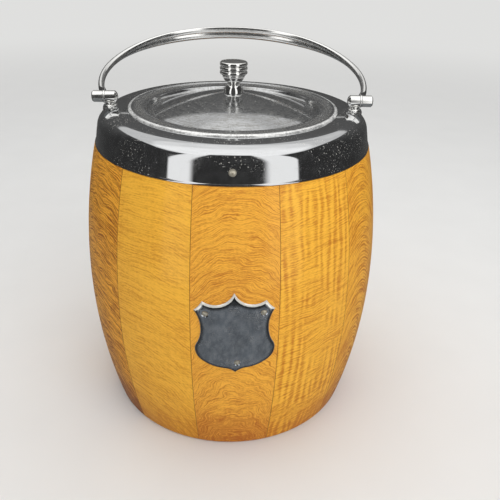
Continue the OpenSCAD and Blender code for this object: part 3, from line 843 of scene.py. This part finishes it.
for at in pins_at:
    x, z = tilt @ Vector(at)
    turn = math.radians(stave_turn) + math.asin(x / wall_r(shield_z + z))
    slope = math.asin((shield_z + z - bulge_z) / bulge_arc_r)
    bpy.ops.object.select_all(action="DESELECT")
    bpy.ops.mesh.primitive_cone_add(
        vertices=48,
        radius1=pin_head_r * mm,
        radius2=(pin_head_r + 3 * sink) * mm,
        depth=3 * sink * mm,
    )
    countersink = bpy.context.object
    countersink.matrix_world = (
        Matrix.Rotation(turn, 4, "Z")
        @ Matrix.Translation(Vector((0, -wall_r(shield_z + z), shield_z + z)) * mm)
        @ Matrix.Rotation(math.pi / 2 - slope, 4, "X")
        @ Matrix.Translation(Vector((0, 0, bed_fit + shield_t + sink / 2)) * mm)
    )
    bpy.context.view_layer.objects.active = shield
    bpy.ops.object.modifier_add(type="BOOLEAN")
    cut = shield.modifiers[-1]
    cut.object = countersink
    cut.operation = "DIFFERENCE"
    bpy.ops.object.modifier_apply(modifier=cut.name)
    bpy.data.objects.remove(countersink)
for inward_by in shield.data.attributes["inward"].data:
    if inward_by.value == 0:
        inward_by.value = far_inside
eased(shield, 0.07, angle=38)
settle(shield, sharp=8)
shield.data.materials.append(
    chrome_finish(
        "shield_chrome",
        film=0.3,
        scratched=1.6,
        dusty=0.05,
        colour=(0.55, 0.585, 0.64),
        bevel=0.95,
    )
)
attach(shield, "barrel")
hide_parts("shield")


# ---- Lid
# A lid pressed from thin sheet and plated: a rolled bead at its edge, a gutter, a low ring
# and a dome that rises to the knob's seat. Its top has dulled with handling.
bead_w, bead_h = 1.25, 1.05
bead = (mouth_r - 0.22 - bead_w, brim_z - 0.1)
dome_foot = (35.6, 145.25)
wall_foot = (37.9, 145.7)
wall_head = (38.9, 147.15)
ridge_out = (40.9, 147.25)
seat = (4.7, 153.3)
gutter_from = (40.2, 41.5)
gutter_to = (44.4, 44.8)
scuffed_from = (27, 38)
under_crease = (mouth_r - 7.1, collar_top - 3.4)
under_seat = (seat[0], under_crease[1] + 9.3)
gutter_end = oval(bead, bead_w, bead_h, 140, 140)[0]
under_bead = oval(bead, bead_w, bead_h, -135, -135)[0]
lid = turned(
    "lid_plated",
    [(0, seat[1])]
    + bow(seat, dome_foot, 0.8, 24)
    + bow(dome_foot, wall_foot, -0.35, 8)
    + bow(wall_foot, wall_head, 0.05, 2)
    + bow(wall_head, ridge_out, 0.05, 4)
    + bow(ridge_out, gutter_end, -0.3, 10)
    + oval(bead, bead_w, bead_h, 140, -135, 12)
    + bow(under_crease, under_bead, -0.7, 8)[::-1]
    + bow(under_seat, under_crease, 0.8, 10)[::-1]
    + [(0, under_seat[1])],
    192,
    closed=False,
)
worn = Finish("lid_chrome")
here = worn.place()
out_x, out_y = worn.axis(here, "X"), worn.axis(here, "Y")
reach = (out_x**2 + out_y**2) ** 0.5
round_way = out_y.math("ARCTAN2", out_x)
gutter = worn.step(reach, *gutter_from) * (1 - worn.step(reach, *gutter_to))
rubbed = worn.node("ShaderNodeCombineXYZ", inputs={0: reach * 2.4, 1: round_way * 5, 2: 0.5})
rub = worn.step(worn.noise(rubbed, size=1, detail=3, roughness=0.6), 0.40, 0.70)
prints = worn.noise(here, size=2.4, detail=3, roughness=0.6, distortion=1.5)
rays = worn.node("ShaderNodeCombineXYZ", inputs={0: reach * 0.25, 1: round_way * 48, 2: 0.5})
scuff = worn.step(worn.noise(rays, size=1, detail=2), 0.56, 0.70)
scuff = scuff * worn.step(reach, *scuffed_from) * worn.step(worn.noise(here, size=16), 0.40, 0.60)
dust = worn.step(worn.noise(here, size=0.55, detail=1.5), 0.67, 0.77)
dust = dust * worn.step(worn.noise(here, size=11, detail=2), 0.40, 0.64)
# Haze from rubbing, prints and scuffs, plus painted shade: the gutter is darker, and rougher.
haze_and_gutter_shade = 0.30 + 0.50 * (rub - 0.3) + (1.2 - 0.7 * gutter) * (prints - 0.5)
haze_and_gutter_shade = haze_and_gutter_shade + 0.4 * scuff + 0.20 * gutter
lid_colour = worn.mixed(haze_and_gutter_shade, (0.57, 0.58, 0.595), tint(142, 140, 134))
lid_colour = worn.mixed(dust * 0.8, lid_colour, tint(214, 212, 206))
# A painted highlight on the rolled bead: a near-white colour with less metal, mottled with the
# prints.
rolled = worn.step(reach, bead[0] - 0.5, bead[0] + 0.1)
bead_highlight = rolled * (0.55 + 0.45 * worn.step(prints, 0.35, 0.6))
lid_colour = worn.mixed(bead_highlight, lid_colour, tint(244, 244, 242))
lid.data.materials.append(
    worn.surface(
        {
            "Base Color": lid_colour,
            "Metallic": (1 - 0.30 * haze_and_gutter_shade - 0.7 * dust) * (1 - 0.6 * bead_highlight),
            "Roughness": 0.05 + 0.16 * haze_and_gutter_shade + 0.10 * gutter + 0.4 * dust,
            "Normal": worn.bump(worn.noise(here, size=16, detail=1) * 1.2 - 0.05 * rub, 0.05, 0.5),
        }
    )
)
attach(lid, "lid")
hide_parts("lid")


# ---- Lid flange, knob screw, washer and nuts
# Plain steel fittings that are out of sight: the ring that drops inside the lip, the
# screw and washer under the knob, and the nuts under the posts. They are turned bright.
steel = Finish("fitting_steel")
here = steel.place()
radius = (steel.axis(here, "X") ** 2 + steel.axis(here, "Y") ** 2) ** 0.5
tool_marks = steel.noise(radius * 6 + steel.axis(here, "Z") * 4, size=1, detail=2)
stain = steel.noise(here, size=4, detail=3)
fitting_steel = steel.surface(
    {
        "Base Color": steel.mixed(stain, (0.44, 0.43, 0.41), (0.60, 0.60, 0.60)),
        "Metallic": 1.0,
        "Roughness": 0.25 + 0.2 * tool_marks,
        "Normal": steel.bump(tool_marks, 0.02, 0.4),
    }
)
dress(["lid_flange", "knob_screw", "knob_washer"], fitting_steel)
dress(["left_post_nut", "right_post_nut"], fitting_steel)


# ---- Knob
# A knob turned from solid bar and plated: a flared foot, a waist, a cup and three rings
# under a low domed top. A screw from below holds it to the lid.
neck = (2.3, 4.0)
cup = (4.9, 6.8)
ring_root = 5.6
ring_h = 1.85
ring_count = 3
dome_h = 0.45
head_above_collar = 15
head_z = collar_top + head_above_collar - seat[1]
knob_profile = [(0, 0), (4.5, 0)] + bow((4.4, 0.5), neck, -0.45, 10) + bow(neck, cup, -0.5, 12)
knob_profile += [cup, (cup[0], head_z)]
for ring in range(ring_count):
    low = head_z + ring * ring_h
    knob_profile += bow((ring_root, low), (ring_root, low + ring_h), -0.55, 12)
top_z = head_z + ring_count * ring_h
knob_profile += bow((ring_root, top_z), (0, top_z + dome_h), -0.15, 12) + [(0, top_z + dome_h)]
knob = turned("knob_plated", [(r, z + seat[1]) for r, z in knob_profile], 96, closed=False)
eased(knob, 0.12)
settle(knob, sharp=50)
bright = chrome_finish(
    "bright_chrome", film=0.12, scratched=0.5, dusty=0.1, colour=(0.92, 0.92, 0.905), rough=0.06
)
knob.data.materials.append(bright)
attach(knob, "lid")
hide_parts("knob")


# ---- Posts and hinge pins
# Two plated posts bolted through the collar's shoulder, each with a drilled knuckle, and
# a plated pin with a barrel-shaped head that is driven into it through the bail's eye.
dress(["left_post", "right_post", "left_hinge_pin", "right_hinge_pin"], bright)


# ---- Post feet
# A plated bell under each post, with a ring round its neck. It is pressed down on the
# collar's shoulder and hides the hole that the post goes through.
post_x = 55.4
bell_z = 145.3
neck_z = 147.2
bell_top = 147.95
neck_r, ring_r, bell_r = 1.95, 2.25, 3.75
bell = turned(
    "left_post_bell",
    [(0, bell_top), (2.0, bell_top), (ring_r, 147.75), (ring_r, 147.45), (neck_r, 147.25)]
    + bow((neck_r, neck_z), (bell_r, bell_z), 0.35, 10)
    + [(bell_r, bell_z), (bell_r, 143.9), (0, 143.9)],
    64,
    closed=False,
)
bell.location.x = -post_x * mm
settle(bell)
bell.data.materials.append(
    chrome_finish(
        "bell_chrome", film=0.3, scratched=0.2, dusty=0.1, colour=(0.95, 0.95, 0.94), rough=0.22
    )
)
bells = [bell]
bpy.ops.object.duplicate()
bells.append(bpy.context.object)
bells[-1].name = "right_post_bell"
bells[-1].location.x = 2 * post_x * mm
settle(bells[-1])
for bell in bells:
    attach(bell, "barrel")


# ---- Bail
# A handle forged from plated bar: flat bored eyes, slim legs, and a crown that widens
# into two reeds side by side. Its section changes all the way, so it is laid ring by ring.
pivot_z = collar_top + 4.2
post_in, eye_out = 0.7, 2.6
eye_x = crown_r - post_in + eye_out
eye_t = 0.9
eye_r = 2.8
bore_r = 1.36
leg_bulge = 3.8
over_collar = 7.5
bail_a = eye_x + leg_bulge
bail_k = math.sqrt(1 - (eye_x / bail_a) ** 2)
bail_b = (collar_foot_r + over_collar) / (1 + bail_k)
bail_centre = bail_k * bail_b
bail_lean = 16
leg_end = 1.2
foot_z = 2.95
foot_h = 3.5
foot_w = 1.6 * eye_r
leg_t, leg_w = 2.7, 3.1
crown_t, crown_w = 1.9, 6.4
crown_from = 0.3
reed_root = 0.32
bail_rings = 168
bail_sides = 44


def ease(x):
    """0 to 1 with a smooth start and end."""
    t = min(max(x, 0), 1)
    return t * t * (3 - 2 * t)


def mix(a, b, t):
    """a where t is 0, b where t is 1, and evenly between."""
    return a + (b - a) * t


def bail_point(share, side):
    """Point on the upright bail: share runs from eye to eye, side round its section."""
    low = math.asin((leg_end - bail_centre) / bail_b)
    turn = low + (math.pi - 2 * low) * share
    up = bail_centre + bail_b * math.sin(turn)
    foot = ease((up - foot_z) / foot_h)
    crown = ease((math.sin(turn) - crown_from) / (1 - crown_from))
    x = math.copysign(mix(eye_x, bail_a * abs(math.cos(turn)), foot), math.cos(turn))
    out = Vector((math.cos(turn) * bail_b, math.sin(turn) * bail_a * foot)).normalized()
    half_t = mix(eye_t, mix(leg_t, crown_t, crown), foot) / 2
    half_w = mix(foot_w, mix(leg_w, crown_w, crown), foot) / 2
    across = math.cos(side)
    plain = math.sqrt(1 - abs(across) ** 3)
    reed = math.sqrt(max(0, 1 - (2 * abs(across) - 1) ** 2))
    reeded = reed if abs(across) > 0.5 else mix(reed_root, 1, reed)
    thick = math.copysign(half_t * mix(plain, reeded, crown), math.sin(side))
    return Vector((x + out.x * thick, half_w * across, up + out.y * thick))


bpy.ops.object.select_all(action="DESELECT")
bpy.ops.mesh.primitive_grid_add(x_subdivisions=bail_sides, y_subdivisions=bail_rings, size=1)
bail = bpy.context.object
bail.name = "bail_plated"
for vertex in bail.data.vertices:
    share = vertex.co.y + 0.5
    side = (vertex.co.x + 0.5) * math.tau
    vertex.co = bail_point(share, side) * mm
bpy.ops.object.mode_set(mode="EDIT")
bpy.ops.mesh.select_all(action="SELECT")
bpy.ops.mesh.remove_doubles(threshold=0.0005 * mm)
bpy.ops.mesh.select_all(action="DESELECT")
bpy.ops.mesh.select_non_manifold()
bpy.ops.mesh.edge_face_add()
bpy.ops.mesh.select_all(action="SELECT")
bpy.ops.mesh.normals_make_consistent(inside=False)
settle(bail)
eyes = []
for hand in (-1, 1):
    half_t = eye_t / 2
    eye_profile = [(bore_r, -half_t), (eye_r, -half_t), (eye_r, half_t), (bore_r, half_t)]
    eye = turned("eye", eye_profile, 64, edge=0.15)
    eye.rotation_euler = (0, math.radians(90), 0)
    eye.location = (hand * eye_x * mm, 0, 0)
    eyes.append(settle(eye))
bpy.ops.object.select_all(action="DESELECT")
for eye in eyes:
    eye.select_set(True)
bail.select_set(True)
bpy.context.view_layer.objects.active = bail
bpy.ops.object.join()
bail.rotation_euler = (math.radians(bail_lean - 90), 0, 0)
bail.location = (0, 0, pivot_z * mm)
settle(bail, sharp=50)
bail.data.materials.append(
    chrome_finish(
        "bail_chrome", film=0.15, scratched=0.3, dusty=0.1, colour=(0.93, 0.93, 0.92), rough=0.13
    )
)
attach(bail, "bail")
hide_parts("bail")
